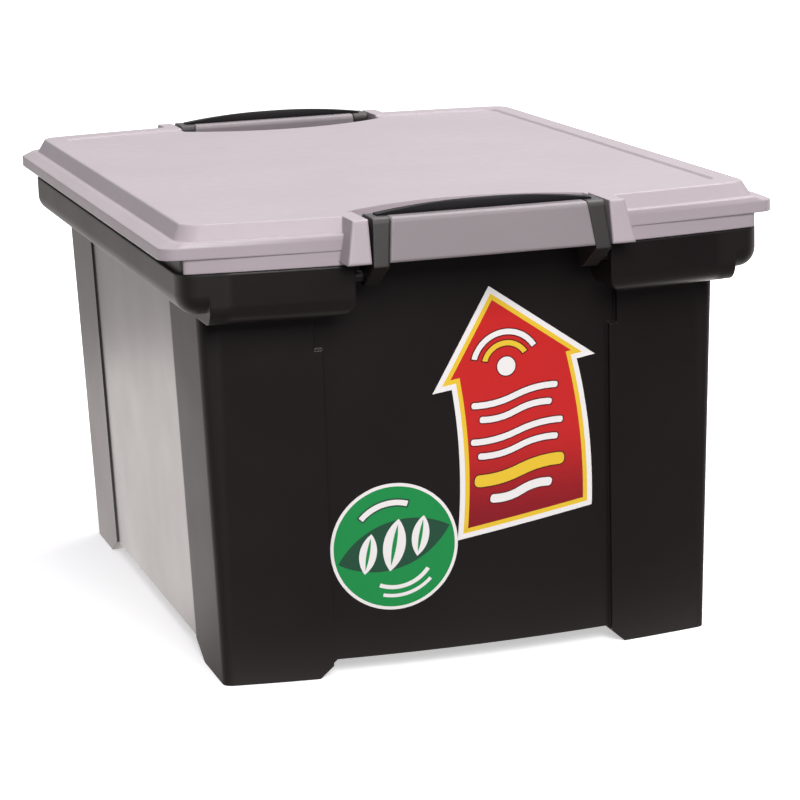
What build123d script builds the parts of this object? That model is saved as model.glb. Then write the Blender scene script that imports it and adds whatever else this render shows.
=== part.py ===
from build123d import *
import os
from math import radians, tan

os.makedirs("parts", exist_ok=True)

# Portable file box: a tub with a flared rim on four corner feet, a lift-off lid and, at each end,
# a carry handle that swings on two pegs. Front is -Y, up is +Z, origin under the middle of the feet.

# ------------------------------------------------------------------ driving dimensions, millimetres
# rim of the tub
rim_width = 340.0          # outside, left to right
rim_depth = 433.2          # outside at the corners, front to back
rim_bow = 15.5             # swell of the front and back of rim and lid at the middle
rim_corner = 12.0
rim_underside = 214.5      # height of the flare's lowest edge
rim_apron = 29.6           # height of the rim face that shows under the lid
rim_upstand = 15.4         # part of the rim inside the lid
rim_round = 11.0           # radius under the apron
side_lift = 6.5            # how far the rim's sides end above its front and back
# tub body
side_overhang = 16.4       # from rim face to tub wall at the rim's underside
end_overhang = 29.6
side_draft = 1.67           # degrees
end_draft = 1.14
tub_bow = 14.0
tub_corner = 6.0
wall = 2.5
side_recess = 1.2          # how far the side panels lie behind the corner columns
end_recess = 3.0
end_panel = 170.0          # width of the recessed front panel
end_panel_upper = 180.0    # its width above the shoulder
shoulder_drop = 22.4       # shoulder below the rim's underside
side_panel = 230.0
foot_height = 10.0
foot_slope = 11.0          # run of the ramp between a foot and the raised floor, front and back
side_foot_slope = 19.0
# hanging-file rails inside the tub
rail_thickness = 2.0
rail_height = 15.0
letter_rail_length = 300.0
legal_rail_length = 270.0
legal_rail_offset = 0.5    # outside the tub's corner line, so that the rail clears the bowed wall
# lid
lid_wall = 2.5
lid_clearance = 0.7        # between lid and rim, sideways
lid_gap = 0.5              # under the skirt
ledge_thickness = 2.5      # over the rim
lip_flare = 9.0            # side lip beyond the rim face
lip_height = 9.3
lip_slope_width = 7.0
lip_slope_height = 3.0
panel_height = 8.2         # raised panel above the ledge
panel_slope = 4.4
panel_side_margin = 5.2   # ledge between lip and panel foot
panel_end_margin = 2.8
panel_corner = 13.0
lid_corner = 10.0
skirt_half_width = 168.0   # end skirts stop short of the side lips
skirt_corner = 5.0
edge_round = 1.2
border_width = 12.0        # raised border round the panel
border_end_width = 14.0
border_height = 1.2
sink_corner = 9.0
panel_thickness = 2.6
# handles
handle_half = 68.2         # half width over the arms at the pegs
handle_half_top = 66.5
cover_half = 59.2
cover_half_top = 56.4
handle_gap = 1.0           # between an arm and the lid's pillar
pillar_bottom = 13.6       # width of the lid's pillar beside the handle
pillar_top = 9.0
pillar_reach = 29.4        # pillar face beyond the rim's corner line, at its foot
pillar_reach_top = 24.4
cover_lift = 1.8           # lower edge of cover and pillars above the lid's skirt edge
cover_wall = 2.5
cover_inner_drop = 9.0     # how far the cover's inner leg hangs down
cover_depth = 22.0         # over the cover's top, inner face to outer face
cover_rise = 0.4           # cover's top above the lid's panel
cover_gap = 0.2            # between cover and frame
cover_corner = 3.5         # rounding along the cover's top edges
crossbar_height = 13.0
arm_setback = 1.0          # arms lie this far behind the cover's face
peg_radius = 3.0
peg_clearance = 0.05
peg_inset = 7.8            # peg axis behind the rim face at the gap's edge
peg_height = 22.0          # peg axis above the rim's underside
barrel_radius = 5.5
boss_length = 6.0
boss_radius = 5.8
grip_rise = 5.4            # height of the comfort grip's arch over the cover
grip_end = 0.8
grip_width = 7.5
grip_half = 62.0
grip_offset = 1.5          # its middle behind the middle of the cover's top
pocket_end = 199.5         # finger pocket's corners, from the middle of the box
pocket_bulge = 23.0        # how much further in it reaches at its middle
# labels
label_thickness = 0.3
arrow_top_width = 77.0
arrow_bottom_width = 84.0
arrow_head_width = 100.0
arrow_head_length = 54.0
arrow_body_length = 88.0
arrow_lean = 7.5           # how far tip and foot lie to the left of the head's middle
arrow_side_swell = 3.0
arrow_tilt = 8.0           # degrees
arrow_x = 27.0             # middle of the head's lower edge
arrow_drop = 46.7          # that point below the rim's underside
round_radius = 37.3
round_centre_x = -47
round_centre_z = 74.0
round_gap = 0.2

# --------------------------------------------------------------------------------- derived sizes
rim_half_width = rim_width / 2
rim_half_depth = rim_depth / 2
rim_step = rim_underside + rim_apron
rim_top = rim_step + rim_upstand
rim_inset = lid_wall + lid_clearance
side_rate = tan(radians(side_draft))
end_rate = tan(radians(end_draft))
tub_half_width = rim_half_width - side_overhang - rim_underside * side_rate
tub_half_depth = rim_half_depth - end_overhang - rim_underside * end_rate
beyond = rim_width + rim_depth          # length that clears the whole box
ledge_top = rim_top + ledge_thickness
panel_top = ledge_top + panel_height
skirt_bottom = rim_step + lid_gap
notch_half = handle_half + handle_gap
rim_gap_half = notch_half + lid_wall + handle_gap + 1.5
lip_half_width = rim_half_width + lip_flare
lid_half_depth = rim_half_depth + lid_gap
side_wall_x = rim_half_width - side_overhang


def bowed_face(height, half_width, half_depth, bow, corner):
    """Flat outline at a height: straight sides, front and back swelling by the bow."""
    with BuildSketch(Plane.XY.offset(height)) as outline:
        with BuildLine():
            Line((-half_width, half_depth), (-half_width, -half_depth))
            ThreePointArc((-half_width, -half_depth), (0, -half_depth - bow), (half_width, -half_depth))
            Line((half_width, -half_depth), (half_width, half_depth))
            ThreePointArc((half_width, half_depth), (0, half_depth + bow), (-half_width, half_depth))
        make_face()
        fillet(outline.vertices(), corner)
    return outline.sketch.faces()[0]


def tub_face(height, side_inset=0.0, end_inset=0.0):
    """The drafted tub's outline at a height, drawn in by the insets."""
    return bowed_face(
        height,
        tub_half_width + height * side_rate - side_inset,
        tub_half_depth + height * end_rate - end_inset,
        tub_bow,
        max(tub_corner - side_inset, 1.0),
    )


def rim_face(height, inset, corner):
    """The rim's outline, drawn in by the inset."""
    return bowed_face(height, rim_half_width - inset, rim_half_depth - inset, rim_bow, corner)


def front_edge_y(half_width, half_depth, bow, x):
    """Where the bowed front lies at x."""
    return -(half_depth + bow * (1 - (x / half_width) ** 2))


# ------------------------------------------------------------------------------------------ tub
ends = (-1, 1)                           # front, back
floor_top = foot_height + wall
shoulder = rim_underside - shoulder_drop
shelf_top = rim_underside + wall
end_foot_gap = end_panel / 2 - 3          # half the raised stretch between the front feet
side_foot_gap = side_panel / 2
peg_y = front_edge_y(rim_half_width, rim_half_depth, rim_bow, rim_gap_half) + peg_inset
peg_z = rim_underside + peg_height
rail_base = shelf_top - 1                 # rails are rooted in the shelf
rail_size = rail_height + shelf_top - rail_base
letter_rail_x = tub_half_width + rim_underside * side_rate - side_recess - wall + rail_thickness / 2
legal_rail_y = tub_half_depth + rim_underside * end_rate + legal_rail_offset

# corner columns, which stand proud of the side and end panels and end in the feet
with BuildPart() as corner_columns:
    loft([tub_face(0), tub_face(rim_top)], ruled=True)
    Box(end_panel, beyond, 3 * beyond, mode=Mode.SUBTRACT)
    Box(beyond, side_panel, 3 * beyond, mode=Mode.SUBTRACT)
    with Locations((0, 0, shoulder)):
        Box(
            end_panel_upper, beyond, beyond,
            align=(Align.CENTER, Align.CENTER, Align.MIN), mode=Mode.SUBTRACT,
        )

# hollow of the columns, down into the feet
with BuildPart() as column_hollow:
    loft([tub_face(wall, wall, wall), tub_face(shelf_top, wall, wall)], ruled=True)
    Box(end_panel + 2 * wall, beyond, 3 * beyond, mode=Mode.SUBTRACT)
    Box(beyond, side_panel + 2 * wall, 3 * beyond, mode=Mode.SUBTRACT)
    with Locations((0, 0, shoulder - wall)):
        Box(
            end_panel_upper + 2 * wall, beyond, beyond,
            align=(Align.CENTER, Align.CENTER, Align.MIN), mode=Mode.SUBTRACT,
        )
    with Locations((0, 0, floor_top)):
        Box(
            2 * (end_foot_gap + foot_slope + wall), beyond, beyond,
            align=(Align.CENTER, Align.CENTER, Align.MAX), mode=Mode.SUBTRACT,
        )
        Box(
            beyond, 2 * (side_foot_gap + side_foot_slope + wall), beyond,
            align=(Align.CENTER, Align.CENTER, Align.MAX), mode=Mode.SUBTRACT,
        )

with BuildPart() as main_hollow:
    loft(
        [
            tub_face(floor_top, side_recess + wall, end_recess + wall),
            tub_face(rim_top, side_recess + wall, end_recess + wall),
        ],
        ruled=True,
    )

# flared rim: an apron with a round lower edge, then an upstand that the lid goes over
gap_root = tub_half_depth + rim_underside * end_rate - end_recess - wall


def handle_gaps(base, height, widening=0):
    """Room for both handles in the rim, from a height up."""
    with BuildPart() as gaps:
        for end in ends:
            with Locations((0, end * (gap_root - widening + beyond / 2), base)):
                Box(
                    2 * (rim_gap_half + widening), beyond, height,
                    align=(Align.CENTER, Align.CENTER, Align.MIN),
                )
    return gaps.part


def rim_tier(outline, height, base, radius, widening=0):
    """The rim or its hollow from a height up, with the handles' gaps and a round lower edge."""
    with BuildPart() as tier:
        extrude(outline, amount=height, dir=(0, 0, 1))
        add(handle_gaps(base, height, widening), mode=Mode.SUBTRACT)
        fillet(tier.edges().group_by(Axis.Z)[0].filter_by(lambda edge: abs(edge.center().X) > 1), radius)
    return tier.part


# the front and back reach lower than the sides, across the tub's width
with BuildPart() as rim_block:
    add(rim_tier(rim_face(rim_underside, 0, rim_corner), rim_apron, rim_underside, rim_round))
    Box(2 * side_wall_x, beyond, 3 * beyond, mode=Mode.INTERSECT)
    add(
        rim_tier(
            rim_face(rim_underside + side_lift, 0, rim_corner), rim_apron - side_lift,
            rim_underside + side_lift, rim_round,
        )
    )
    extrude(
        rim_face(rim_step, rim_inset, rim_corner - rim_inset), amount=rim_upstand, dir=(0, 0, 1)
    )
    add(handle_gaps(rim_step, rim_upstand), mode=Mode.SUBTRACT)

with BuildPart() as rim_hollow:
    add(
        rim_tier(
            rim_face(shelf_top, rim_inset + wall, rim_corner - wall - 2), rim_top - shelf_top,
            shelf_top, rim_round / 2 - 0.5, wall,
        )
    )
    Box(2 * (side_wall_x - wall), beyond, 3 * beyond, mode=Mode.INTERSECT)
    add(
        rim_tier(
            rim_face(shelf_top + side_lift, rim_inset + wall, rim_corner - wall - 2),
            rim_top - shelf_top - side_lift, shelf_top + side_lift, rim_round / 2 - 0.5, wall,
        )
    )

# straight rails on shelves that bridge the bowed end walls
with BuildPart() as legal_rails:
    for end in ends:
        with Locations((0, end * legal_rail_y, rail_base)):
            Box(
                legal_rail_length, rail_thickness, rail_size,
                align=(Align.CENTER, Align.CENTER, Align.MIN),
            )
        with Locations((0, end * (legal_rail_y - rail_thickness / 2), rim_underside)):
            Box(
                legal_rail_length, end_overhang, wall,
                align=(Align.CENTER, Align.MIN if end > 0 else Align.MAX, Align.MIN),
            )
    extrude(
        tub_face(rim_underside - wall, side_recess, end_recess + wall / 2),
        amount=beyond, dir=(0, 0, 1), mode=Mode.INTERSECT,
    )

with BuildPart() as tub:
    loft(
        [tub_face(0, side_recess, end_recess), tub_face(rim_top, side_recess, end_recess)],
        ruled=True,
    )
    add(corner_columns.part)
    add(rim_block.part)
    add(main_hollow.part, mode=Mode.SUBTRACT)
    add(column_hollow.part, mode=Mode.SUBTRACT)
    add(rim_hollow.part, mode=Mode.SUBTRACT)
    # raised floor between the feet, with ramps down to each foot
    with BuildSketch(Plane.XZ) as end_arch:
        Polygon(
            (-end_foot_gap - foot_slope, 0), (end_foot_gap + foot_slope, 0),
            (end_foot_gap, foot_height), (-end_foot_gap, foot_height), align=None,
        )
    extrude(amount=beyond, both=True, mode=Mode.SUBTRACT)
    with BuildSketch(Plane.YZ) as side_arch:
        Polygon(
            (-side_foot_gap - side_foot_slope, 0), (side_foot_gap + side_foot_slope, 0),
            (side_foot_gap, foot_height), (-side_foot_gap, foot_height), align=None,
        )
    extrude(amount=beyond, both=True, mode=Mode.SUBTRACT)
    # hanging-file rails: letter size across the box, legal size along it
    for side in (-1, 1):
        with Locations((side * letter_rail_x, 0, rail_base)):
            Box(
                rail_thickness, letter_rail_length, rail_size,
                align=(Align.CENTER, Align.CENTER, Align.MIN),
            )
    add(legal_rails.part)
    # bosses behind the rim's end cheeks, bored for the handles' pegs
    for end in ends:
        for side in (-1, 1):
            cheek = Plane((side * rim_gap_half, -end * peg_y, peg_z), x_dir=(0, 1, 0), z_dir=(side, 0, 0))
            with BuildSketch(cheek) as boss:
                Circle(boss_radius)
            extrude(amount=boss_length)
            with BuildSketch(cheek) as bore:
                Circle(peg_radius + peg_clearance)
            extrude(amount=boss_length, mode=Mode.SUBTRACT)
tub.part.label = "tub"
export_step(tub.part, "parts/tub.step")

# ------------------------------------------------------------------------------------------ lid
lip_bottom = ledge_top - lip_height
shoulder_width = lip_half_width - lip_slope_width
panel_half_width = shoulder_width - panel_side_margin + panel_slope / 2
panel_half_depth = lid_half_depth - panel_end_margin - panel_slope
panel_ceiling = panel_top - border_height - panel_thickness
face_foot_y = -(rim_half_depth + pillar_reach)
face_top_y = -(rim_half_depth + pillar_reach_top)
cover_bottom = skirt_bottom + cover_lift
cover_top = panel_top + cover_rise
notch_wall = end_recess - lid_clearance - lid_wall


def lid_face(height, half_width, half_depth, corner):
    """An outline of the lid at a height."""
    return bowed_face(height, half_width, half_depth, rim_bow, corner)


# where the handle stands: open at the lid's end, as far in as the tub's end wall
with BuildPart() as handle_notch:
    Box(2 * notch_half, 2 * beyond, 4 * beyond)
    extrude(
        tub_face(rim_top, side_recess, notch_wall), amount=2 * beyond, both=True, mode=Mode.SUBTRACT
    )

# the same with its walls, which stay solid inside the lid
with BuildPart() as notch_surround:
    Box(2 * (notch_half + lid_wall), 2 * beyond, 4 * beyond)
    extrude(
        tub_face(rim_top, side_recess, notch_wall + lid_wall),
        amount=2 * beyond, both=True, mode=Mode.SUBTRACT,
    )

# pillars that flank each handle and lean out from the panel's edge to the skirt's foot
with BuildPart() as lid_pillars:
    for end in ends:
        with BuildSketch(Plane.YZ) as pillar_side:
            Polygon(
                (end * (rim_half_depth - pillar_reach), cover_bottom),
                (-end * face_foot_y, cover_bottom),
                (-end * face_top_y, panel_top),
                (end * (rim_half_depth - pillar_reach), panel_top), align=None,
            )
        extrude(amount=notch_half + pillar_bottom, both=True)
    with BuildSketch(Plane.XZ) as pillar_front:
        for side in (-1, 1):
            Polygon(
                (side * notch_half, cover_bottom),
                (side * (notch_half + pillar_bottom), cover_bottom),
                (side * (notch_half + pillar_top), panel_top),
                (side * notch_half, panel_top), align=None,
            )
    extrude(amount=beyond, both=True, mode=Mode.INTERSECT)
    fillet(lid_pillars.edges().filter_by(lambda edge: abs(edge.center().Y) > -face_top_y - 1), edge_round)

with BuildPart() as pillar_hollow:
    for end in ends:
        with BuildSketch(Plane.YZ) as hollow_side:
            Polygon(
                (end * (rim_half_depth - pillar_reach), skirt_bottom),
                (end * (-face_foot_y - lid_wall), skirt_bottom),
                (end * (-face_top_y - lid_wall), rim_top),
                (end * (rim_half_depth - pillar_reach), rim_top), align=None,
            )
        extrude(amount=notch_half + pillar_bottom, both=True)
    with BuildSketch(Plane.XZ) as hollow_front:
        for side in (-1, 1):
            Polygon(
                (side * (notch_half + lid_wall), skirt_bottom),
                (side * (notch_half + pillar_bottom - lid_wall), skirt_bottom),
                (side * (notch_half + pillar_top - lid_wall), panel_top),
                (side * (notch_half + lid_wall), panel_top), align=None,
            )
    extrude(amount=beyond, both=True, mode=Mode.INTERSECT)

# ledge with its flared side lips, made apart so that its long edges can be rounded
with BuildPart() as lid_rim:
    extrude(
        lid_face(lip_bottom, lip_half_width, lid_half_depth, lid_corner),
        amount=lip_height - lip_slope_height, dir=(0, 0, 1),
    )
    loft(
        [
            lid_face(ledge_top - lip_slope_height, lip_half_width, lid_half_depth, lid_corner),
            lid_face(ledge_top, shoulder_width, lid_half_depth, lid_corner),
        ],
        ruled=True,
    )
    fillet(lid_rim.edges().group_by(Axis.Z)[-1], radius=edge_round)

with BuildPart() as lid_panel:
    loft(
        [
            lid_face(ledge_top, panel_half_width, panel_half_depth + panel_slope, panel_corner),
            lid_face(
                panel_top, panel_half_width - panel_slope, panel_half_depth, panel_corner - edge_round
            ),
        ],
        ruled=True,
    )
    fillet(lid_panel.edges().group_by(Axis.Z)[-1], radius=edge_round)

with BuildPart() as lid_skirts:
    extrude(
        lid_face(skirt_bottom, skirt_half_width, lid_half_depth, skirt_corner),
        amount=rim_top - skirt_bottom, dir=(0, 0, 1),
    )
    Box(3 * beyond, rim_depth - 2 * lid_corner, 3 * beyond, mode=Mode.SUBTRACT)

with BuildPart() as lid_hollow:
    extrude(
        lid_face(skirt_bottom, lip_half_width - lid_wall, lid_half_depth - lid_wall, lid_corner - lid_wall),
        amount=ledge_top - lip_slope_height - lid_wall / 2 - skirt_bottom, dir=(0, 0, 1),
    )
    extrude(
        lid_face(skirt_bottom, shoulder_width - lid_wall, lid_half_depth - lid_wall, lid_corner - lid_wall),
        amount=rim_top - skirt_bottom, dir=(0, 0, 1),
    )
    loft(
        [
            lid_face(
                rim_top, rim_half_width - rim_inset - wall, rim_half_depth - rim_inset - wall,
                panel_corner - lid_wall,
            ),
            lid_face(
                panel_ceiling, panel_half_width - panel_slope - lid_wall, panel_half_depth - lid_wall,
                panel_corner - lid_wall,
            ),
        ],
        ruled=True,
    )

def pocket_blank(base, margin):
    """The crescent behind each handle, a margin wider than the finger pocket, from a height up."""
    with BuildPart() as blank:
        for end in ends:
            with BuildSketch(Plane.XY.offset(base)):
                with BuildLine():
                    half = notch_half + margin
                    back = end * pocket_end
                    Line((-half, 2 * back), (-half, back))
                    ThreePointArc((-half, back), (0, back - end * (pocket_bulge + margin)), (half, back))
                    Line((half, back), (half, 2 * back))
                    Line((half, 2 * back), (-half, 2 * back))
                make_face()
            extrude(amount=2 * panel_height, dir=(0, 0, 1))
    return blank.part


# sunk middle of the panel, inside the raised border
with BuildPart() as panel_sink:
    sink_half_width = panel_half_width - panel_slope - border_width
    sink_half_depth = panel_half_depth - border_end_width
    loft(
        [
            lid_face(panel_top - border_height, sink_half_width - 1, sink_half_depth - 1, sink_corner - 1),
            lid_face(panel_top, sink_half_width, sink_half_depth, sink_corner),
        ],
        ruled=True,
    )

with BuildPart() as lid_inside:
    add(lid_hollow.part)
    add(notch_surround.part, mode=Mode.SUBTRACT)
    add(pocket_blank(rim_top, lid_wall), mode=Mode.SUBTRACT)
    add(pillar_hollow.part)

with BuildPart() as lid:
    add(lid_rim.part)
    add(lid_panel.part)
    add(lid_skirts.part)
    add(lid_pillars.part)
    add(lid_inside.part, mode=Mode.SUBTRACT)
    add(handle_notch.part, mode=Mode.SUBTRACT)
    add(pocket_blank(ledge_top, 0), mode=Mode.SUBTRACT)
    add(panel_sink.part, mode=Mode.SUBTRACT)
lid.part.label = "lid"
export_step(lid.part, "parts/lid.step")

# -------------------------------------------------------------------------------------- handles
cover_inner_y = face_top_y + cover_depth
face_run = face_top_y - face_foot_y
face_rise = cover_top - cover_bottom
face_length = (face_run**2 + face_rise**2) ** 0.5


def face_y(height, behind=0.0):
    """Where the handle's leaning face lies at a height, or a plane this far behind it."""
    return face_foot_y + (height - cover_bottom) / face_rise * face_run + behind * face_length / face_rise


def tapered_blank(inner_foot, inner_top, outer_foot, outer_top, low):
    """Two mirrored uprights as deep as the box: straight below the cover, tapering beside it."""
    with BuildPart() as blank:
        with BuildSketch(Plane.XZ):
            for side in (-1, 1):
                Polygon(
                    (side * inner_foot, low),
                    (side * outer_foot, low),
                    (side * outer_foot, cover_bottom),
                    (side * outer_top, cover_top),
                    (side * inner_top, cover_top),
                    (side * inner_foot, cover_bottom), align=None,
                )
        extrude(amount=beyond, both=True)
    return blank.part


# black swing frame: two arms on pegs, joined by a bar inside the cover
with BuildPart() as front_handle_frame:
    with BuildSketch(Plane.YZ) as arm_side:
        Polygon(
            (peg_y + barrel_radius, peg_z),
            (cover_inner_y, cover_bottom + 2),
            (cover_inner_y, cover_top),
            (face_y(cover_top, arm_setback), cover_top),
            (face_y(cover_bottom - 2, arm_setback), cover_bottom - 2),
            (peg_y - barrel_radius / 2, peg_z - barrel_radius * 0.85), align=None,
        )
        fillet(arm_side.vertices().group_by(Axis.Y)[-1], cover_corner)
        with Locations((peg_y, peg_z)):
            Circle(barrel_radius)
    extrude(amount=handle_half, both=True)
    add(
        tapered_blank(
            cover_half + cover_gap, cover_half_top + cover_gap, handle_half, handle_half_top,
            peg_z - barrel_radius,
        ),
        mode=Mode.INTERSECT,
    )
    with BuildSketch(Plane.YZ) as bar_side:
        bar_top = cover_top - cover_wall - cover_gap
        bar_bottom = bar_top - crossbar_height
        bar_inner = cover_inner_y - cover_wall - cover_gap
        bar_behind = cover_wall + cover_gap
        Polygon(
            (bar_inner, bar_top),
            (face_y(bar_top, bar_behind), bar_top),
            (face_y(bar_bottom, bar_behind), bar_bottom),
            (face_y(bar_bottom, bar_behind + wall), bar_bottom),
            (bar_inner, bar_top - crossbar_height / 2), align=None,
        )
    extrude(amount=cover_half_top + 2, both=True)
    for side in (-1, 1):
        with BuildSketch(Plane((side * (cover_half + 2), peg_y, peg_z), z_dir=(side, 0, 0))):
            Circle(peg_radius)
        extrude(amount=rim_gap_half + boss_length - 0.5 - cover_half - 2)
front_handle_frame.part.label = "front_handle_frame"
export_step(front_handle_frame.part, "parts/front_handle_frame.step")

# silver cover, an upside-down channel over the frame's bar
with BuildPart() as front_handle_cover:
    with BuildSketch(Plane.YZ) as cover_side:
        Polygon(
            (face_foot_y, cover_bottom),
            (face_top_y, cover_top),
            (cover_inner_y, cover_top),
            (cover_inner_y, cover_top - cover_inner_drop),
            (cover_inner_y - cover_wall, cover_top - cover_inner_drop),
            (cover_inner_y - cover_wall, cover_top - cover_wall),
            (face_y(cover_top - cover_wall, cover_wall), cover_top - cover_wall),
            (face_y(cover_bottom, cover_wall), cover_bottom), align=None,
        )
        fillet(cover_side.vertices().group_by(Axis.Y)[-1], cover_corner)
    extrude(amount=cover_half, both=True)
    add(tapered_blank(0, 0, cover_half, cover_half_top, cover_bottom - 1), mode=Mode.INTERSECT)
    face_edges = front_handle_cover.edges().filter_by(
        lambda edge: abs(edge.center().Y - face_y(edge.center().Z)) < 0.1 and edge.length > cover_wall
    )
    fillet(face_edges, edge_round)
front_handle_cover.part.label = "front_handle_cover"
export_step(front_handle_cover.part, "parts/front_handle_cover.step")

# soft comfort grip, an arch along the top of the handle
with BuildPart() as front_handle_grip:
    with BuildSketch(Plane.XZ) as grip_front:
        with BuildLine():
            Line((-grip_half, cover_top + grip_end), (-grip_half, cover_top))
            Line((-grip_half, cover_top), (grip_half, cover_top))
            Line((grip_half, cover_top), (grip_half, cover_top + grip_end))
            ThreePointArc(
                (grip_half, cover_top + grip_end),
                (0, cover_top + grip_rise),
                (-grip_half, cover_top + grip_end),
            )
        make_face()
    extrude(amount=beyond, both=True)
    with BuildSketch(Plane.YZ) as grip_side:
        with Locations(((face_top_y + cover_inner_y) / 2 + grip_offset, cover_top)):
            Ellipse(grip_width / 2, grip_rise)
    extrude(amount=grip_half, both=True, mode=Mode.INTERSECT)
front_handle_grip.part.label = "front_handle_grip"
export_step(front_handle_grip.part, "parts/front_handle_grip.step")

# the back handle is the same, turned half round
with BuildPart() as back_handle_frame:
    add(front_handle_frame.part, rotation=(0, 0, 180))
back_handle_frame.part.label = "back_handle_frame"
export_step(back_handle_frame.part, "parts/back_handle_frame.step")

with BuildPart() as back_handle_cover:
    add(front_handle_cover.part, rotation=(0, 0, 180))
back_handle_cover.part.label = "back_handle_cover"
export_step(back_handle_cover.part, "parts/back_handle_cover.step")

with BuildPart() as back_handle_grip:
    add(front_handle_grip.part, rotation=(0, 0, 180))
back_handle_grip.part.label = "back_handle_grip"
export_step(back_handle_grip.part, "parts/back_handle_grip.step")

# --------------------------------------------------------------------------------------- labels
arrow_z = rim_underside - arrow_drop
label_plane = Plane.XZ.offset(tub_half_depth / 2)

# a skin on the front panel, as thick as a label
with BuildPart() as panel_skin:
    loft(
        [
            tub_face(0, side_recess, end_recess - label_thickness),
            tub_face(rim_top, side_recess, end_recess - label_thickness),
        ],
        ruled=True,
    )
    loft(
        [tub_face(0, side_recess, end_recess), tub_face(rim_top, side_recess, end_recess)],
        ruled=True, mode=Mode.SUBTRACT,
    )

with BuildPart() as round_label:
    with BuildSketch(label_plane) as round_outline:
        with Locations((round_centre_x, round_centre_z)):
            Circle(round_radius)
    extrude(amount=beyond)
    add(panel_skin.part, mode=Mode.INTERSECT)
round_label.part.label = "round_label"
export_step(round_label.part, "parts/round_label.step")

with BuildPart() as arrow_label:
    with BuildSketch(label_plane) as arrow_outline:
        with Locations(Location((arrow_x, arrow_z), arrow_tilt)):
            with BuildSketch(mode=Mode.PRIVATE) as arrow:
                with BuildLine():
                    half_top = arrow_top_width / 2
                    half_bottom = arrow_bottom_width / 2
                    foot_left = (-arrow_lean - half_bottom, -arrow_body_length)
                    foot_right = (-arrow_lean + half_bottom, -arrow_body_length)
                    swell_y = -arrow_body_length / 2
                    swell_left = -(half_top + half_bottom) / 2 - arrow_lean / 2 + arrow_side_swell
                    swell_right = (half_top + half_bottom) / 2 - arrow_lean / 2 + arrow_side_swell
                    Line((-half_top, 0), (-arrow_head_width / 2, 0))
                    Line((-arrow_head_width / 2, 0), (-arrow_lean, arrow_head_length))
                    Line((-arrow_lean, arrow_head_length), (arrow_head_width / 2, 0))
                    Line((arrow_head_width / 2, 0), (half_top, 0))
                    ThreePointArc((half_top, 0), (swell_right, swell_y), foot_right)
                    Line(foot_right, foot_left)
                    ThreePointArc(foot_left, (swell_left, swell_y), (-half_top, 0))
                make_face()
            add(arrow.sketch)
        with Locations((round_centre_x, round_centre_z)):
            Circle(round_radius + round_gap, mode=Mode.SUBTRACT)
    extrude(amount=beyond)
    add(panel_skin.part, mode=Mode.INTERSECT)
arrow_label.part.label = "arrow_label"
export_step(arrow_label.part, "parts/arrow_label.step")
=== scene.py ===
"""Finishes, printed labels, studio and camera for the portable file box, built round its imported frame."""
import math

import bmesh
import bpy
from mathutils import Matrix, Vector
from mathutils.bvhtree import BVHTree


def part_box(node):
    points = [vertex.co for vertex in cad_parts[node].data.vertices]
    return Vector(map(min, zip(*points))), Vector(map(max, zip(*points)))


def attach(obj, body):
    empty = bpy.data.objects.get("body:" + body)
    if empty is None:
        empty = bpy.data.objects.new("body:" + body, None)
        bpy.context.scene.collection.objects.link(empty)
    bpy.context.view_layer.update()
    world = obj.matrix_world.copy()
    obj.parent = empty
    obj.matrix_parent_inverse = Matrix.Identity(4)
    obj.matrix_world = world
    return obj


bl_info = {
    "name": "Portable File Box",
    "version": (1, 0, 0),
    "blender": (4, 5, 0),
    "location": "View3D > Sidebar > File Box",
    "description": "Plastic finishes, printed labels and a plain studio for a portable file box",
    "category": "Object",
}

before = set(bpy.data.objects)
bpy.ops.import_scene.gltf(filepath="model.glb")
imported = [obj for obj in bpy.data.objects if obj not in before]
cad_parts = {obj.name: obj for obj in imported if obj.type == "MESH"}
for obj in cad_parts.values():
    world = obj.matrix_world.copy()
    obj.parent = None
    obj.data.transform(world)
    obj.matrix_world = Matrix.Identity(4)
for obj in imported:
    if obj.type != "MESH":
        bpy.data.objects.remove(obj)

MM = 0.001
HANDLE_ENDS = ("front", "back")

# ------------------------------------------------------------------------ sizes taken from the frame
TUB_LOW, TUB_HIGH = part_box("tub")
PANEL_HALF = 115 * MM      # half the length of the plain panel between two corner columns
SIDE_FACE = TUB_HIGH.x - 24 * MM     # past this x the tub's skin is on one of its long sides
RIM_FOOT = TUB_HIGH.z - 40 * MM
FRONT_DULL, REAR_DULL, RIM_DULL = 0.24, 0.12, 0.20     # how much duller columns and rim are there
ROUND_LOW, ROUND_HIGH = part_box("round_label")
ROUND_RADIUS = (ROUND_HIGH.x - ROUND_LOW.x) / 2
ROUND_CENTRE = Vector(((ROUND_LOW.x + ROUND_HIGH.x) / 2, (ROUND_LOW.z + ROUND_HIGH.z) / 2))


# -------------------------------------------------------------------------------------- settings
def colour(name, description, default):
    """A linear colour that a user may change."""
    return bpy.props.FloatVectorProperty(
        name=name, description=description, default=default, size=3, min=0.0, max=1.0, subtype="COLOR",
    )


def length(name, description, default):
    """A size in metres that a user may change."""
    return bpy.props.FloatProperty(
        name=name, description=description, default=default, min=0.0, subtype="DISTANCE", unit="LENGTH",
    )


def factor(name, description, default, top=1.0):
    """A plain number from 0 up."""
    return bpy.props.FloatProperty(name=name, description=description, default=default, min=0.0, max=top)


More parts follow.
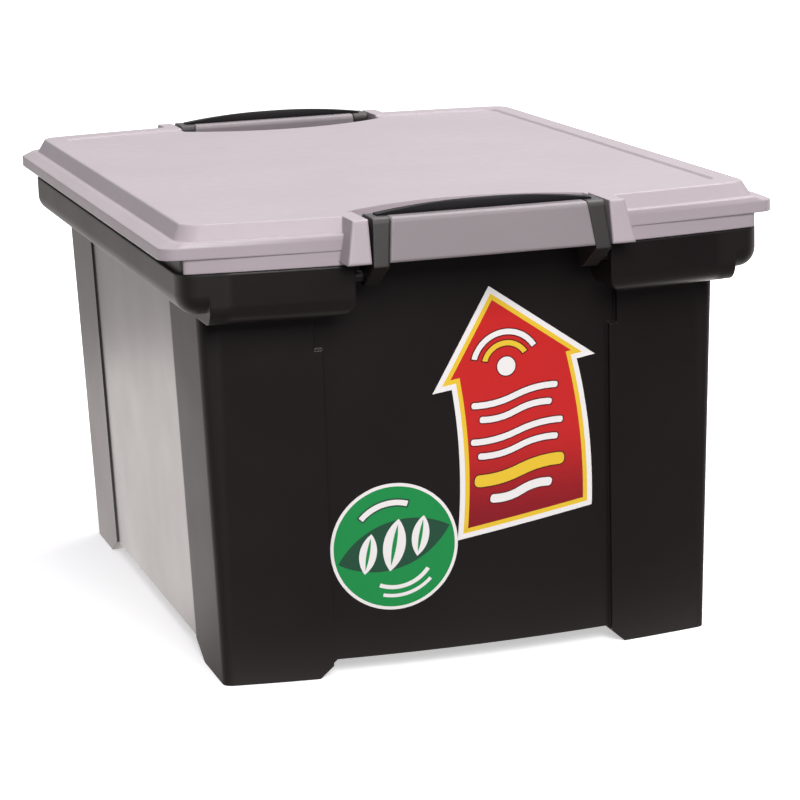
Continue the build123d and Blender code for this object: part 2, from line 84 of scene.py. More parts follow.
class PlasticSettings(bpy.types.PropertyGroup):
    """Colours and grain of the moulded plastics."""

    black: colour("Black plastic", "Tub and handle frames", (0.0085, 0.0058, 0.0062))
    silver: colour("Silver plastic", "Lid", (0.375, 0.328, 0.352))
    silver_face: colour("Handle cover", "Silver covers on the handles", (0.212, 0.188, 0.200))
    rubber: colour("Grip rubber", "Soft grips on the handles", (0.005, 0.004, 0.005))
    black_roughness: factor("Black roughness", "Satin gloss of the black plastic", 0.30)
    silver_roughness: factor("Silver roughness", "Satin gloss of the silver plastic", 0.38)
    grain: length("Grain size", "Width of the moulded grain", 0.9 * MM)


class LabelSettings(bpy.types.PropertyGroup):
    """Sizes and inks of the two printed labels."""

    arrow_tilt: bpy.props.FloatProperty(
        name="Arrow tilt", description="Turn of the arrow label", default=math.radians(8.0),
        subtype="ANGLE", unit="ROTATION",
    )
    white_edge: length("White edge", "Unprinted edge of the arrow label", 3.0 * MM)
    yellow_edge: length("Yellow edge", "Yellow line inside the white edge", 2.6 * MM)
    ring: length("Ring", "White edge of the round label", 1.7 * MM)
    film: length("Ink lift", "How far the print stands on its film", 0.06 * MM)
    white: colour("White ink", "Unprinted film", (0.86, 0.84, 0.83))
    yellow: colour("Yellow ink", "Arrow's inner edge and motifs", (0.83, 0.56, 0.03))
    red: colour("Red ink", "Arrow's field", (0.58, 0.012, 0.012))
    deep_red: colour("Deep red ink", "Foot of the arrow's field", (0.24, 0.002, 0.010))
    dark_red: colour("Dark red ink", "Thin edges of the arrow's motifs", (0.10, 0.006, 0.008))
    green: colour("Green ink", "Round label's field", (0.004, 0.27, 0.062))
    deep_green: colour("Deep green ink", "Round label's motifs", (0.012, 0.075, 0.040))


class StageSettings(bpy.types.PropertyGroup):
    """Floor, lamps and camera."""

    camera_place: bpy.props.FloatVectorProperty(
        name="Camera place", description="Where the camera stands",
        default=(-0.4951771, -1.7052838, 0.5090888), size=3, subtype="TRANSLATION", unit="LENGTH",
    )
    camera_yaw: bpy.props.FloatProperty(
        name="Camera yaw", description="Turn from +Y towards +X", default=0.2920, subtype="ANGLE",
        unit="ROTATION",
    )
    camera_dip: bpy.props.FloatProperty(
        name="Camera dip", description="How far it looks down", default=0.2184, subtype="ANGLE",
        unit="ROTATION",
    )
    camera_roll: bpy.props.FloatProperty(
        name="Camera roll", description="Tilt of the horizon", default=-0.0347, subtype="ANGLE",
        unit="ROTATION",
    )
    camera_lens: factor("Lens", "Focal length in millimetres on a 36 mm sensor", 129.194, 500.0)
    floor_half: length("Floor half width", "Half the side of the square floor", 9.0)
    floor_glow: factor("Floor glow", "Plain white added to the floor in view near the box", 0.50, 5.0)
    floor_mirror: factor("Floor mirror", "Brightness of the floor in the box's gloss", 2.1, 5.0)
    backdrop: factor("Backdrop", "Brightness of the room behind in the box's gloss", 0.55, 5.0)
    overhead: factor("Overhead", "Brightness of the room above in the box's gloss", 1.3, 5.0)
    ambient: factor("Ambient", "Strength of the surroundings' plain light", 0.33, 5.0)
    ambient_tint: colour("Ambient tint", "Colour of the surroundings' plain light", (0.93, 0.90, 1.0))
    lamp_tint: colour("Lamp tint", "Colour of the lamps", (1.0, 0.975, 0.965))
    key_power: factor("Key power", "Watts of the large lamp overhead", 32.0, 2000.0)
    front_power: factor("Front power", "Watts of the lamp beside the camera", 42.0, 2000.0)


def settings():
    """The three groups of settings, in the order plastic, labels, stage."""
    scene = bpy.context.scene
    return scene.file_box_plastic, scene.file_box_labels, scene.file_box_stage


# ------------------------------------------------------------------------------- material helpers
class Shader:
    """A short way to write node materials."""

    def __init__(self, name):
        self.material = bpy.data.materials.new(name)
        self.material.use_nodes = True
        self.tree = self.material.node_tree
        self.surface = self.tree.nodes["Principled BSDF"]
        self.place = self.tree.nodes.new("ShaderNodeTexCoord").outputs["Object"]

    def node(self, kind, **inputs):
        """A node with its inputs set or linked. A double underscore in a name stands for a space."""
        made = self.tree.nodes.new("ShaderNode" + kind)
        for name, value in inputs.items():
            self.feed(made.inputs[name.replace("__", " ")], value)
        return made

    def feed(self, socket, value):
        """Links an output to a socket, or sets the socket's value."""
        if isinstance(value, bpy.types.NodeSocket):
            self.tree.links.new(value, socket)
        else:
            socket.default_value = value

    def set(self, **inputs):
        """Sets or links inputs of the main shader."""
        for name, value in inputs.items():
            self.feed(self.surface.inputs[name.replace("__", " ")], value)

    def math(self, operation, first, second=0.0, third=0.0):
        """One step of arithmetic."""
        made = self.tree.nodes.new("ShaderNodeMath")
        made.operation = operation
        for socket, value in zip(made.inputs, (first, second, third)):
            self.feed(socket, value)
        return made.outputs[0]

    def ramp(self, value, low, high, to_low=0.0, to_high=1.0):
        """A smooth step from to_low to to_high while value goes from low to high."""
        made = self.tree.nodes.new("ShaderNodeMapRange")
        made.interpolation_type = "SMOOTHSTEP"
        for name, given in (
            ("Value", value), ("From Min", low), ("From Max", high),
            ("To Min", to_low), ("To Max", to_high),
        ):
            self.feed(made.inputs[name], given)
        return made.outputs["Result"]

    def mix(self, weight, first, second):
        """A colour between two."""
        made = self.tree.nodes.new("ShaderNodeMix")
        made.data_type = "RGBA"
        for name, given in (("Factor_Float", weight), ("A_Color", first), ("B_Color", second)):
            socket = next(s for s in made.inputs if s.identifier == name)
            self.feed(socket, given)
        return next(s for s in made.outputs if s.identifier == "Result_Color")

    def noise(self, size, detail=2.0, roughness=0.5, place=None):
        """Noise with features of about this size, in metres."""
        made = self.node(
            "TexNoise", Vector=place or self.place, Scale=1.0 / size, Detail=detail, Roughness=roughness,
        )
        return made.outputs["Fac"]

    def axis(self, name):
        """One coordinate of the place on the piece."""
        return self.node("SeparateXYZ", Vector=self.place).outputs[name]

    def bump(self, height, distance, strength=1.0, under=None):
        """A bump from a height field, over another one if given."""
        made = self.node("Bump", Height=height, Distance=distance, Strength=strength)
        if under is not None:
            self.feed(made.inputs["Normal"], under)
        return made.outputs["Normal"]


def rgb(values, scale=1.0):
    """A colour property as an opaque tuple."""
    return tuple(min(v * scale, 1.0) for v in values) + (1.0,)


# --------------------------------------------------------------------------------------- finishes
def black_plastic(name, base, roughness, grain, columns=False):
    """Moulded black plastic: fine grain, cloudy gloss and flow marks.

    With columns, the corner columns and the rim are duller on the tub's long sides.
    """
    shade = Shader(name)
    cloud = shade.noise(60 * MM, detail=3.0)
    fine = shade.noise(grain, detail=3.0, roughness=0.6)
    flow_place = shade.node("Mapping", Vector=shade.place, Scale=(1.0, 0.14, 1.0)).outputs["Vector"]
    flow = shade.noise(16 * MM, detail=2.0, place=flow_place)
    tone = shade.mix(cloud, rgb(base, 0.82), rgb(base, 1.18))
    gloss = shade.math("MULTIPLY_ADD", cloud, 0.10, roughness - 0.05)
    gloss = shade.math("MULTIPLY_ADD", fine, 0.06, gloss)
    if columns:
        across = shade.math("ABSOLUTE", shade.axis("X"))
        side = shade.ramp(across, SIDE_FACE - 6 * MM, SIDE_FACE)
        front = shade.ramp(shade.axis("Y"), -PANEL_HALF + 1 * MM, -PANEL_HALF - 3 * MM, 0.0, FRONT_DULL)
        rear = shade.ramp(shade.axis("Y"), PANEL_HALF - 1 * MM, PANEL_HALF + 3 * MM, 0.0, REAR_DULL)
        column = shade.math("MULTIPLY", shade.math("ADD", front, rear), side)
        rim = shade.math("MULTIPLY", side, RIM_DULL)
        dull = shade.ramp(shade.axis("Z"), RIM_FOOT, RIM_FOOT + 3 * MM, column, rim)
        gloss = shade.math("ADD", gloss, dull)
        shade.set(Specular__IOR__Level=shade.math("MULTIPLY_ADD", dull, -1.0, 0.5))
    soft = shade.node("Bevel", Radius=1.6 * MM).outputs["Normal"]
    broad = shade.bump(flow, 0.10 * MM, 0.3, soft)
    shade.set(Base__Color=tone, Roughness=gloss, Normal=shade.bump(fine, 0.03 * MM, 0.55, broad), IOR=1.50)
    return shade.material


def silver_plastic(name, base, roughness, grain):
    """Light grey plastic with a fine matt grain, soft blotches and slight mottling from moulding."""
    shade = Shader(name)
    cloud = shade.noise(90 * MM, detail=2.0)
    mottle = shade.noise(9 * MM, detail=3.0)
    fine = shade.noise(grain, detail=2.0, roughness=0.6)
    tone = shade.mix(shade.ramp(cloud, 0.3, 0.7), rgb(base, 0.965), rgb(base, 1.03))
    tone = shade.mix(shade.ramp(mottle, 0.35, 0.65, 0.0, 0.25), tone, rgb(base, 0.95))
    gloss = shade.math("MULTIPLY_ADD", mottle, 0.10, roughness - 0.05)
    gloss = shade.math("MULTIPLY_ADD", fine, 0.05, gloss)
    soft = shade.node("Bevel", Radius=1.2 * MM).outputs["Normal"]
    broad = shade.bump(mottle, 0.05 * MM, 0.3, soft)
    shade.set(Base__Color=tone, Roughness=gloss, Normal=shade.bump(fine, 0.03 * MM, 0.6, broad), IOR=1.48)
    return shade.material


def grip_rubber(name, base):
    """Soft black rubber with a velvety, pebbled skin."""
    shade = Shader(name)
    pebbles = shade.node("TexVoronoi", Vector=shade.place, Scale=1.0 / (0.8 * MM)).outputs["Distance"]
    cloud = shade.noise(12 * MM)
    tone = shade.mix(cloud, rgb(base, 0.85), rgb(base, 1.2))
    rough = shade.math("MULTIPLY_ADD", cloud, 0.1, 0.52)
    shade.set(Base__Color=tone, Roughness=rough, Normal=shade.bump(pebbles, 0.05 * MM, 0.6))
    shade.set(Specular__IOR__Level=0.10)
    return shade.material


def ink(name, base, other=None, low=0.0, high=1.0):
    """Printed gloss film. With a second colour it fades upwards between two heights."""
    shade = Shader(name)
    speckle = shade.noise(0.5 * MM, detail=1.0)
    tone = rgb(base)
    if other is not None:
        tone = shade.mix(shade.ramp(shade.axis("Z"), low, high), rgb(base), rgb(other))
    tone = shade.mix(shade.math("MULTIPLY", speckle, 0.03), tone, (0.5, 0.45, 0.42, 1.0))
    ripple = shade.noise(22 * MM)
    shade.set(Base__Color=tone, Roughness=shade.math("MULTIPLY_ADD", speckle, 0.06, 0.22))
    shade.set(Normal=shade.bump(ripple, 0.15 * MM, 0.3))
    return shade.material


def dress(node, material):
    """Gives a CAD node one material."""
    node.data.materials.clear()
    node.data.materials.append(material)


# ----------------------------------------------------------------------------------------- prints
class Print:
    """Flat inks on a label: shapes drawn in the label's plane, then laid on its curved film."""

    def __init__(self, name, node, origin, turn, film):
        self.name = name
        self.film = film
        self.place = Matrix.Translation((*origin, 0)) @ Matrix.Rotation(turn, 4, "Z")
        shape = bmesh.new()
        shape.from_mesh(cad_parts[node].data)
        self.surface = BVHTree.FromBMesh(shape)
        shape.free()
        self.mesh = bmesh.new()
        self.materials = []

    def paint(self, faces, material):
        """Gives faces an ink."""
        if material not in self.materials:
            self.materials.append(material)
        for face in faces:
            face.material_index = self.materials.index(material)

    def stamp(self, shape, material, layer=1, edges=(), spot=(0, 0), turn=0.0):
        """Adds a shape on a layer counted from the film. Edges are widths and inks, from outside in."""
        shape.normal_update()
        middle = shape.faces[:]
        for width, skin in edges:
            made = bmesh.ops.inset_region(
                shape, faces=middle, thickness=width, use_even_offset=True, use_boundary=True,
            )
            self.paint(made["faces"], skin)
        self.paint(middle, material)
        place = self.place @ Matrix.Translation((*spot, layer)) @ Matrix.Rotation(turn, 4, "Z")
        bmesh.ops.transform(shape, matrix=place, verts=shape.verts[:])
        sheet = bpy.data.meshes.new(self.name)
        shape.to_mesh(sheet)
        shape.free()
        self.mesh.from_mesh(sheet)
        bpy.data.meshes.remove(sheet)

    def lay(self, step=4 * MM):
        """Cuts the inks into upright strips, lays them on the film's curve and makes the piece."""
        low = min(vertex.co.x for vertex in self.mesh.verts)
        high = max(vertex.co.x for vertex in self.mesh.verts)
        for k in range(1, math.ceil((high - low) / step)):
            bmesh.ops.bisect_plane(
                self.mesh, geom=everything(self.mesh), dist=1e-7, plane_co=(low + k * step, 0, 0),
                plane_no=(1, 0, 0),
            )
        bmesh.ops.triangulate(self.mesh, faces=self.mesh.faces[:])
        for vertex in self.mesh.verts:
            x, z, layer = vertex.co
            hit = self.surface.ray_cast(Vector((x, 2 * TUB_LOW.y, z)), Vector((0, 1, 0)))[0]
            if hit is None:
                hit = self.surface.find_nearest(Vector((x, TUB_LOW.y, z)))[0]
            vertex.co = Vector((x, hit.y - layer * self.film, z))
        self.mesh.normal_update()
        backward = [face for face in self.mesh.faces if face.normal.y > 0]
        bmesh.ops.reverse_faces(self.mesh, faces=backward)
        data = bpy.data.meshes.new(self.name)
        self.mesh.to_mesh(data)
        self.mesh.free()
        for material in self.materials:
            data.materials.append(material)
        piece = bpy.data.objects.new(self.name, data)
        bpy.context.scene.collection.objects.link(piece)
        return piece


def everything(shape):
    """All of a shape's parts, as the operators take them."""
    return shape.verts[:] + shape.edges[:] + shape.faces[:]


def disc(radius, segments=48):
    """A filled circle."""
    shape = bmesh.new()
    bmesh.ops.create_circle(shape, cap_ends=True, radius=radius, segments=segments)
    return shape


def band(radius, width, half_angle, steps=24):
    """A part of a ring, equal to both sides of the upright."""
    shape = bmesh.new()
    ends = [shape.verts.new((0, radius + side * width / 2, 0)) for side in (-1, 1)]
    line = shape.edges.new(ends)
    bmesh.ops.rotate(shape, verts=ends, matrix=Matrix.Rotation(-half_angle, 3, "Z"))
    bmesh.ops.spin(
        shape, geom=[*ends, line], cent=(0, 0, 0), axis=(0, 0, 1), angle=2 * half_angle, steps=steps,
    )
    return shape


def leaf(half_length, half_width, segments=120):
    """A pointed leaf: a slice of a circle and its mirror image."""
    radius = (half_length**2 + half_width**2) / (2 * half_width)
    shape = disc(radius, segments)
    bmesh.ops.translate(shape, verts=shape.verts[:], vec=(0, half_width - radius, 0))
    bmesh.ops.bisect_plane(
        shape, geom=everything(shape), dist=1e-7, plane_co=(0, 0, 0), plane_no=(0, 1, 0), clear_inner=True,
    )
    bmesh.ops.mirror(shape, geom=everything(shape), merge_dist=1e-7, axis="Y")
    bmesh.ops.recalc_face_normals(shape, faces=shape.faces[:])
    return shape


def wave(half_length, width, rise, steps=6):
    """A band that dips and rises once, with round ends: two equal arcs, one each way from its middle."""
    radius = half_length**2 / (8 * rise)
    sweep = 2 * math.asin(half_length / (2 * radius))
    shape = bmesh.new()
    ends = [shape.verts.new((0, side * width / 2, 0)) for side in (-1, 1)]
    line = shape.edges.new(ends)
    for side in (-1, 1):
        bmesh.ops.spin(
            shape, geom=[*ends, line], cent=(0, -side * radius, 0), axis=(0, 0, 1), angle=-sweep,
            steps=steps,
        )
    bmesh.ops.rotate(shape, verts=shape.verts[:], matrix=Matrix.Rotation(sweep / 2, 3, "Z"))
    bmesh.ops.recalc_face_normals(shape, faces=shape.faces[:])
    tips = [vertex for vertex in shape.verts if len(vertex.link_edges) == 2]
    bmesh.ops.bevel(
        shape, geom=tips, offset=0.42 * width, segments=4, profile=0.5, affect="VERTICES", material=-1,
    )
    return shape


# -------------------------------------------------------------------------------------- operators
class FILEBOX_OT_tub(bpy.types.Operator):
    """Finish the tub in black plastic"""

    bl_idname = "filebox.tub"
    bl_label = "Finish the Tub"

    def execute(self, context):
        plastic = settings()[0]
        skin = black_plastic(
            "tub_plastic", plastic.black, plastic.black_roughness, plastic.grain, columns=True,
        )
        dress(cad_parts["tub"], skin)
        return {"FINISHED"}


class FILEBOX_OT_lid(bpy.types.Operator):
    """Finish the lid in silver plastic"""

    bl_idname = "filebox.lid"
    bl_label = "Finish the Lid"

    def execute(self, context):
        plastic = settings()[0]
        skin = silver_plastic("lid_plastic", plastic.silver, plastic.silver_roughness, plastic.grain)
        dress(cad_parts["lid"], skin)
        return {"FINISHED"}


class FILEBOX_OT_handles(bpy.types.Operator):
    """Finish both handles: black frames, silver covers and soft grips"""

    bl_idname = "filebox.handles"
    bl_label = "Finish the Handles"

    frame_dulling = 0.1        # how much rougher the frames are than the tub

    def execute(self, context):
        plastic = settings()[0]
        frame_roughness = plastic.black_roughness + self.frame_dulling
        frame_skin = black_plastic("frame_plastic", plastic.black, frame_roughness, plastic.grain)
        cover_skin = silver_plastic(
            "cover_plastic", plastic.silver_face, plastic.silver_roughness, plastic.grain,
        )
        grip_skin = grip_rubber("grip_rubber", plastic.rubber)
        for end in HANDLE_ENDS:
            dress(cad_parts[end + "_handle_frame"], frame_skin)
            dress(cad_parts[end + "_handle_cover"], cover_skin)
            dress(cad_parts[end + "_handle_grip"], grip_skin)
        return {"FINISHED"}


class FILEBOX_OT_arrow_label(bpy.types.Operator):
    """Print the arrow label: white and yellow edges round a red field with plain bands"""

    bl_idname = "filebox.arrow_label"
    bl_label = "Print the Arrow Label"

    # the label's outline, in its own plane, from the middle of the head's lower edge
    middle_x = 27.0 * MM
    middle_height = 167.8 * MM
    body_top = 77.0 * MM
    body_bottom = 84.0 * MM
    body_length = 88.0 * MM
    head_width = 100.0 * MM
    head_length = 54.0 * MM
    lean = 7.5 * MM
    swell = 3.0 * MM
    side_steps = 16

    # its motifs: arches and a disc round one point of the head, and bands below it
    head_middle = (-lean * 0.6, 6 * MM)
    arch_half_angle = math.radians(68)
    disc_radius = 6.2 * MM
    dark_edge = 0.7 * MM
    band_lean = 0.09           # a band's shift to the left for each unit that it lies lower
    band_shift = 1.0 * MM
    widest_band = 31 * MM      # half the length that a share of 1 stands for
    band_rise = 1.6 * MM

    def side(self, shape, sign):
        """One side of the body: a spun arc from head to foot. It returns its two ends."""
        top = Vector((sign * self.body_top / 2, 0, 0))
        foot = Vector((sign * self.body_bottom / 2 - self.lean, -self.body_length, 0))
        chord = foot - top
        radius = (chord.length**2 / 4 + self.swell**2) / (2 * self.swell)
        inward = Vector((chord.y, -chord.x, 0)).normalized()
        head = shape.verts.new(top)
        made = bmesh.ops.spin(
            shape, geom=[head], cent=(top + foot) / 2 + inward * (radius - self.swell), axis=(0, 0, 1),
            angle=-2 * math.asin(chord.length / 2 / radius), steps=self.side_steps,
        )
        return head, made["geom_last"][0]

    def outline(self):
        """The whole arrow."""
        shape = bmesh.new()
        left_head, left_foot = self.side(shape, -1)
        right_head, right_foot = self.side(shape, 1)
        left_barb = shape.verts.new((-self.head_width / 2, 0, 0))
        right_barb = shape.verts.new((self.head_width / 2, 0, 0))
        tip = shape.verts.new((-self.lean, self.head_length, 0))
        for pair in (
            (left_foot, right_foot), (left_head, left_barb), (left_barb, tip), (tip, right_barb),
            (right_barb, right_head),
        ):
            shape.edges.new(pair)
        bmesh.ops.contextual_create(shape, geom=shape.edges[:])
        return shape

    def execute(self, context):
        labels = settings()[1]
        origin = Vector((self.middle_x, self.middle_height))
        art = Print("arrow_label_print", "arrow_label", origin, labels.arrow_tilt, labels.film)
        foot_z = self.middle_height - self.body_length
        white = ink("white_ink", labels.white)
        yellow = ink("yellow_ink", labels.yellow)
        red = ink("red_ink", labels.deep_red, labels.red, foot_z, foot_z + 60 * MM)
        dark = ink("dark_ink", labels.dark_red)
        art.stamp(self.outline(), red, edges=((labels.white_edge, white), (labels.yellow_edge, yellow)))
        dress(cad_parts["arrow_label"], white)
        self.motifs(art, white, yellow, dark)
        piece = art.lay()
        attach(piece, "box")
        return {"FINISHED"}

    def motifs(self, art, white, yellow, dark):
        """Nested arches round a disc in the head, and waves of bands across the body."""
        edge = ((self.dark_edge, dark),)
        for radius, width, skin in ((20 * MM, 4.6 * MM, white), (13.5 * MM, 4.4 * MM, yellow)):
            art.stamp(band(radius, width, self.arch_half_angle), skin, 2, edge, self.head_middle)
        art.stamp(disc(self.disc_radius), white, 2, edge, self.head_middle)
        # each band's height and width in millimetres, its ink, and its share of the widest band
        rows = (
            (-12, 5.0, white, 0.88), (-21, 5.0, white, 0.74), (-33, 5.0, white, 0.94),
            (-42, 5.0, white, 0.82), (-56, 8.4, yellow, 0.92), (-68, 6.4, white, 0.64),
        )
        for height, width, skin, share in rows:
            spot = (height * self.band_lean * MM - self.band_shift, height * MM)
            art.stamp(wave(share * self.widest_band, width * MM, self.band_rise), skin, 2, edge, spot)


class FILEBOX_OT_round_label(bpy.types.Operator):
    """Print the round label: a white ring round a green field with plain leaves"""

    bl_idname = "filebox.round_label"
    bl_label = "Print the Round Label"

    edge_gap = 0.15 * MM       # between the print and the film's edge
    turn = math.radians(15.0)
    leaf_turn = math.radians(64)
    leaf_pitch = 16 * MM
    leaf_reach = 15.5 * MM     # half the middle leaf's length
    outer_loss = 3.5 * MM      # how much shorter an outer leaf's half is
    leaf_rise = 1 * MM         # leaves stand this far above the label's centre
    leaf_shape = 0.42          # half a leaf's width, as a share of half its length
    vein_length = 0.8          # half a vein's length and width, as shares of half the leaf's length
    vein_width = 0.08
    back_leaf = (34 * MM, 14 * MM)
    arc_edge = 0.9 * MM
    # arcs: radius, width and half angle
    top_arc = (26 * MM, 5.0 * MM, math.radians(35))
    foot_arcs = ((24 * MM, 2.4 * MM, math.radians(38)), (29 * MM, 2.0 * MM, math.radians(30)))

    def execute(self, context):
        labels = settings()[1]
        art = Print("round_label_print", "round_label", ROUND_CENTRE, self.turn, labels.film)
        white = ink("ring_ink", labels.white)
        green = ink("green_ink", labels.green)
        deep = ink("deep_green_ink", labels.deep_green)
        art.stamp(disc(ROUND_RADIUS - self.edge_gap, 96), green, edges=((labels.ring, white),))
        dress(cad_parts["round_label"], white)
        self.motifs(art, white, green, deep)
        piece = art.lay()
        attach(piece, "box")
        return {"FINISHED"}

    def motifs(self, art, white, green, deep):
        """Three veined leaves on a darker one, with arcs above and below."""
        art.stamp(leaf(*self.back_leaf), deep, 2, spot=(0, self.leaf_rise))
        for k in (-1, 0, 1):
            spot = (k * self.leaf_pitch, self.leaf_rise)
            reach = self.leaf_reach - self.outer_loss * abs(k)
            vein = leaf(self.vein_length * reach, self.vein_width * reach)
            art.stamp(leaf(reach, self.leaf_shape * reach), white, 3, spot=spot, turn=self.leaf_turn)
            art.stamp(vein, green, 4, spot=spot, turn=self.leaf_turn)
        art.stamp(band(*self.top_arc), white, 2, ((self.arc_edge, deep),))
        for arc in self.foot_arcs:
            art.stamp(band(*arc), white, 2, turn=math.pi)


class FILEBOX_OT_stage(bpy.types.Operator):
    """Set up the pale floor, the soft lamps and the camera"""

    bl_idname = "filebox.stage"
    bl_label = "Set Up the Stage"

    # where each lamp stands, the point it faces and the side of its square, in metres
    key_lamp = ((0.6, 0.2, 1.8), (0.0, 0.0, 0.15), 1.5)
    front_lamp = ((-0.2, -2.0, 1.3), (0.0, -0.1, 0.15), 1.0)

    # the floor: distances from its middle, or places along y, between which it changes
    white_near, white_far = 0.38, 0.9            # from its own glow to the pure white in view
    behind_from, behind_to = -0.3, 0.05          # mirrored floor turns bright towards the back
    bright_far, bright_near = 0.84, 0.66         # and its brightest strip ends
    ahead_from, ahead_to = -0.95, -0.55          # dim floor in front fades in
    ahead_dim, ahead_bright = 0.02, 0.16
    broad_share, strip_share = 0.4, 0.6          # of the mirrored brightness

    # the room in the box's gloss: directions between which it changes
    wall_from, wall_to = -0.25, 0.55             # y, from the dim front to the backdrop
    ceiling_from, ceiling_to = 0.24, 0.40        # z, from the walls to what is overhead
    dim_room = 0.06

    def execute(self, context):
        stage = settings()[2]
        self.floor(context, stage)
        self.world(context, stage)
        self.lamp(context, stage, "key", *self.key_lamp, stage.key_power)
        self.lamp(context, stage, "front", *self.front_lamp, stage.front_power)
        self.camera(context, stage)
        return {"FINISHED"}

    def floor(self, context, stage):
        """A wide white floor that keeps the box's shadow."""
        shape = bmesh.new()
        bmesh.ops.create_grid(shape, x_segments=4, y_segments=4, size=stage.floor_half)
        data = bpy.data.meshes.new("studio_floor")
        shape.to_mesh(data)
        shape.free()
        floor = bpy.data.objects.new("studio_floor", data)
        context.scene.collection.objects.link(floor)
        shade = Shader("floor_white")
        rays = shade.node("LightPath").outputs
        far = shade.node("VectorMath", Vector=shade.place)
        far.operation = "LENGTH"
        seen = shade.ramp(far.outputs["Value"], self.white_near, self.white_far, stage.floor_glow)
        along = shade.axis("Y")
        behind = shade.ramp(along, self.behind_from, self.behind_to)
        strip = shade.ramp(along, self.bright_far, self.bright_near)
        bright = shade.math("MULTIPLY", behind, strip)
        mirrored = shade.ramp(along, self.ahead_from, self.ahead_to, self.ahead_dim, self.ahead_bright)
        for part, share in ((behind, self.broad_share), (bright, self.strip_share)):
            mirrored = shade.math("MULTIPLY_ADD", part, stage.floor_mirror * share, mirrored)
        glossy = rays["Is Glossy Ray"]
        tone = shade.mix(rays["Is Diffuse Ray"], (0.98, 0.98, 0.98, 1.0), (0.35, 0.35, 0.35, 1.0))
        shade.set(Base__Color=shade.mix(glossy, tone, (0.02, 0.02, 0.02, 1.0)), Roughness=0.9)
        shade.set(Specular__IOR__Level=0.0)
        shade.set(Emission__Color=shade.mix(glossy, (1.0, 1.0, 1.0, 1.0), (1.0, 0.935, 0.915, 1.0)))
        glow = shade.math("MULTIPLY", rays["Is Camera Ray"], seen)
        shade.set(Emission__Strength=shade.math("MULTIPLY_ADD", glossy, mirrored, glow))
        data.materials.append(shade.material)

    def world(self, context, stage):
        """Plain ambient light, a white background, and for gloss a room that is bright at the back."""
        world = bpy.data.worlds.new("studio")
        context.scene.world = world
        world.use_nodes = True
        tree = world.node_tree
        background = tree.nodes["Background"]
        rays = tree.nodes.new("ShaderNodeLightPath").outputs
        direction = tree.nodes.new("ShaderNodeTexCoord").outputs["Generated"]
        split = tree.nodes.new("ShaderNodeSeparateXYZ")
        tree.links.new(direction, split.inputs[0])
        along, upward = split.outputs["Y"], split.outputs["Z"]
        walls = self.step(tree, along, self.wall_from, self.wall_to, self.dim_room, stage.backdrop)
        room = self.step(tree, upward, self.ceiling_from, self.ceiling_to, walls, stage.overhead)
        ambient = self.blend(tree, rays["Is Glossy Ray"], stage.ambient, room)
        strength = self.blend(tree, rays["Is Camera Ray"], ambient, 1.0)
        tree.links.new(strength, background.inputs["Strength"])
        tint = tree.nodes.new("ShaderNodeMix")
        tint.data_type = "RGBA"
        tree.links.new(rays["Is Diffuse Ray"], tint.inputs["Factor"])
        tint.inputs[6].default_value = (1.0, 1.0, 1.0, 1.0)
        tint.inputs[7].default_value = (*stage.ambient_tint, 1.0)
        tree.links.new(tint.outputs[2], background.inputs["Color"])

    def step(self, tree, value, low, high, to_low, to_high):
        """A smooth step between two strengths."""
        made = tree.nodes.new("ShaderNodeMapRange")
        made.interpolation_type = "SMOOTHSTEP"
        for name, given in (
            ("Value", value), ("From Min", low), ("From Max", high),
            ("To Min", to_low), ("To Max", to_high),
        ):
            if isinstance(given, bpy.types.NodeSocket):
                tree.links.new(given, made.inputs[name])
            else:
                made.inputs[name].default_value = given
        return made.outputs["Result"]

    def blend(self, tree, weight, first, second):
        """A number between two."""
        made = tree.nodes.new("ShaderNodeMix")
        made.data_type = "FLOAT"
        for socket, value in ((made.inputs[0], weight), (made.inputs[2], first), (made.inputs[3], second)):
            if isinstance(value, bpy.types.NodeSocket):
                tree.links.new(value, socket)
            else:
                socket.default_value = value
        return made.outputs[0]

    def lamp(self, context, stage, name, place, target, size, power):
        """A square soft lamp aimed at a point."""
        data = bpy.data.lights.new(name + "_lamp", "AREA")
        data.shape = "SQUARE"
        data.size = size
        data.energy = power
        data.color = stage.lamp_tint
        lamp = bpy.data.objects.new(name + "_lamp", data)
        lamp.location = place
        lamp.rotation_euler = (Vector(target) - Vector(place)).to_track_quat("-Z", "Y").to_euler()
        context.scene.collection.objects.link(lamp)

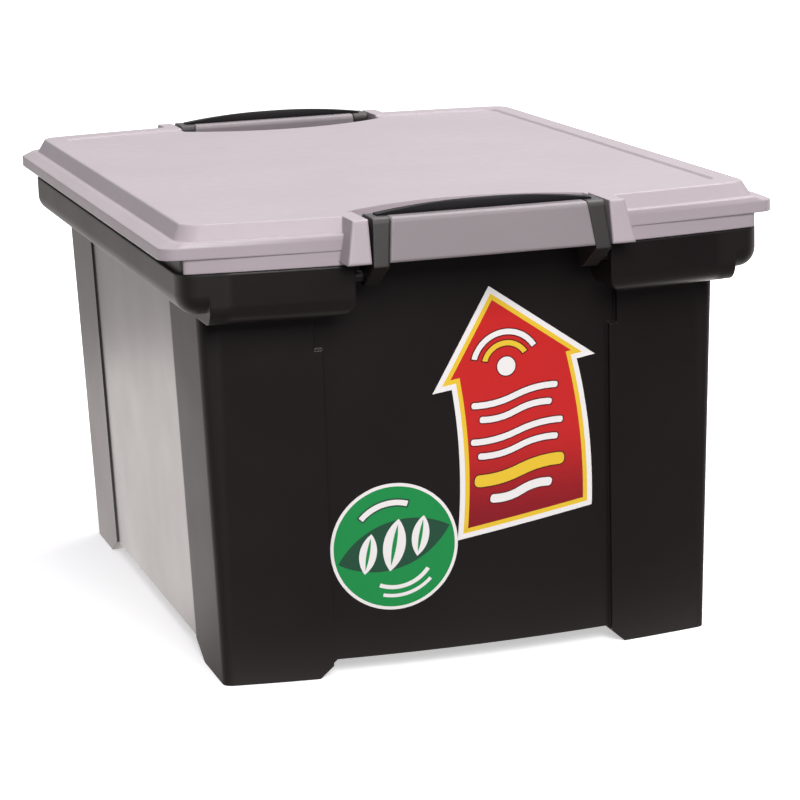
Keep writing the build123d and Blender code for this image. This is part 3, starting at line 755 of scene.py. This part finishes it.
    def camera(self, context, stage):
        """A camera that looks down the box's left front corner."""
        yaw, dip, roll = stage.camera_yaw, stage.camera_dip, stage.camera_roll
        ahead = Vector((math.sin(yaw) * math.cos(dip), math.cos(yaw) * math.cos(dip), -math.sin(dip)))
        level = ahead.cross(Vector((0, 0, 1))).normalized()
        upright = level.cross(ahead)
        right = math.cos(roll) * level + math.sin(roll) * upright
        up = math.cos(roll) * upright - math.sin(roll) * level
        data = bpy.data.cameras.new("camera")
        data.sensor_width = 36.0
        data.lens = stage.camera_lens
        data.clip_end = 50.0
        camera = bpy.data.objects.new("camera", data)
        turn = Matrix((right, up, -ahead)).transposed().to_4x4()
        camera.matrix_world = Matrix.Translation(Vector(stage.camera_place)) @ turn
        context.scene.collection.objects.link(camera)
        context.scene.camera = camera
        context.scene.view_settings.view_transform = "Standard"


STEPS = (
    FILEBOX_OT_tub, FILEBOX_OT_lid, FILEBOX_OT_handles, FILEBOX_OT_arrow_label, FILEBOX_OT_round_label,
    FILEBOX_OT_stage,
)


class FILEBOX_PT_panel(bpy.types.Panel):
    """Steps and settings of the file box"""

    bl_idname = "FILEBOX_PT_panel"
    bl_label = "File Box"
    bl_space_type = "VIEW_3D"
    bl_region_type = "UI"
    bl_category = "File Box"

    def draw(self, context):
        for step in STEPS:
            self.layout.operator(step.bl_idname)
        for group in settings():
            column = self.layout.column()
            for name in group.bl_rna.properties.keys():
                if name not in ("rna_type", "name"):
                    column.prop(group, name)


CLASSES = (PlasticSettings, LabelSettings, StageSettings, *STEPS, FILEBOX_PT_panel)


def register():
    """Adds the classes and the scene's settings."""
    for item in CLASSES:
        bpy.utils.register_class(item)
    bpy.types.Scene.file_box_plastic = bpy.props.PointerProperty(type=PlasticSettings)
    bpy.types.Scene.file_box_labels = bpy.props.PointerProperty(type=LabelSettings)
    bpy.types.Scene.file_box_stage = bpy.props.PointerProperty(type=StageSettings)


def unregister():
    """Removes them again."""
    del bpy.types.Scene.file_box_stage
    del bpy.types.Scene.file_box_labels
    del bpy.types.Scene.file_box_plastic
    for item in reversed(CLASSES):
        bpy.utils.unregister_class(item)


def main():
    """Builds everything in order."""
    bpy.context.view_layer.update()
    register()
    bpy.ops.filebox.tub()
    bpy.ops.filebox.lid()
    bpy.ops.filebox.handles()
    bpy.ops.filebox.arrow_label()
    bpy.ops.filebox.round_label()
    bpy.ops.filebox.stage()


if __name__ == "__main__":
    main()
